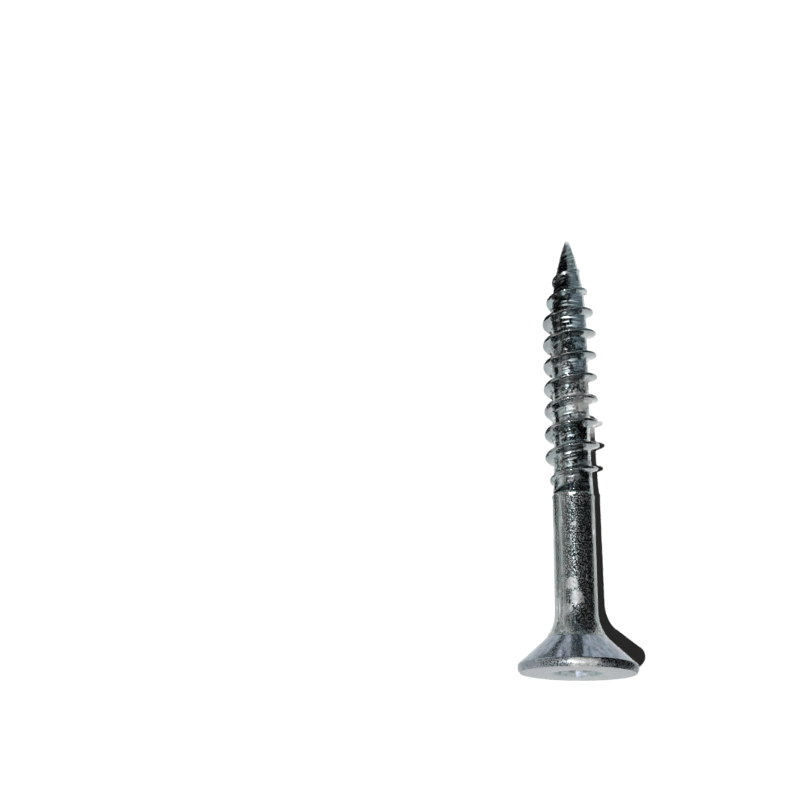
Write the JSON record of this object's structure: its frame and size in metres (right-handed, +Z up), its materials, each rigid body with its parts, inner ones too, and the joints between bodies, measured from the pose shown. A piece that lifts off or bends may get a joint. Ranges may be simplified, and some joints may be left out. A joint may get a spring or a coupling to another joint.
{
  "type": "chipboard screw",
  "caption": "Zinc-plated countersunk wood screw with a six-lobe recess, a plain shank, a coarse part thread and a sharp point, lying on its side.",
  "frame": {"origin": "on the surface that the screw lies on, below the middle of its length", "axes": "+X along the screw towards the point, +Z up from the surface that it lies on, +Y to its left"},
  "size_m": [0.0402, 0.01, 0.01],
  "materials": {
    "zinc": "bright blue-white zinc plating on steel wire"
  },
  "bodies": {
    "root": {"screw": "zinc"}
  },
  "joints": []
}
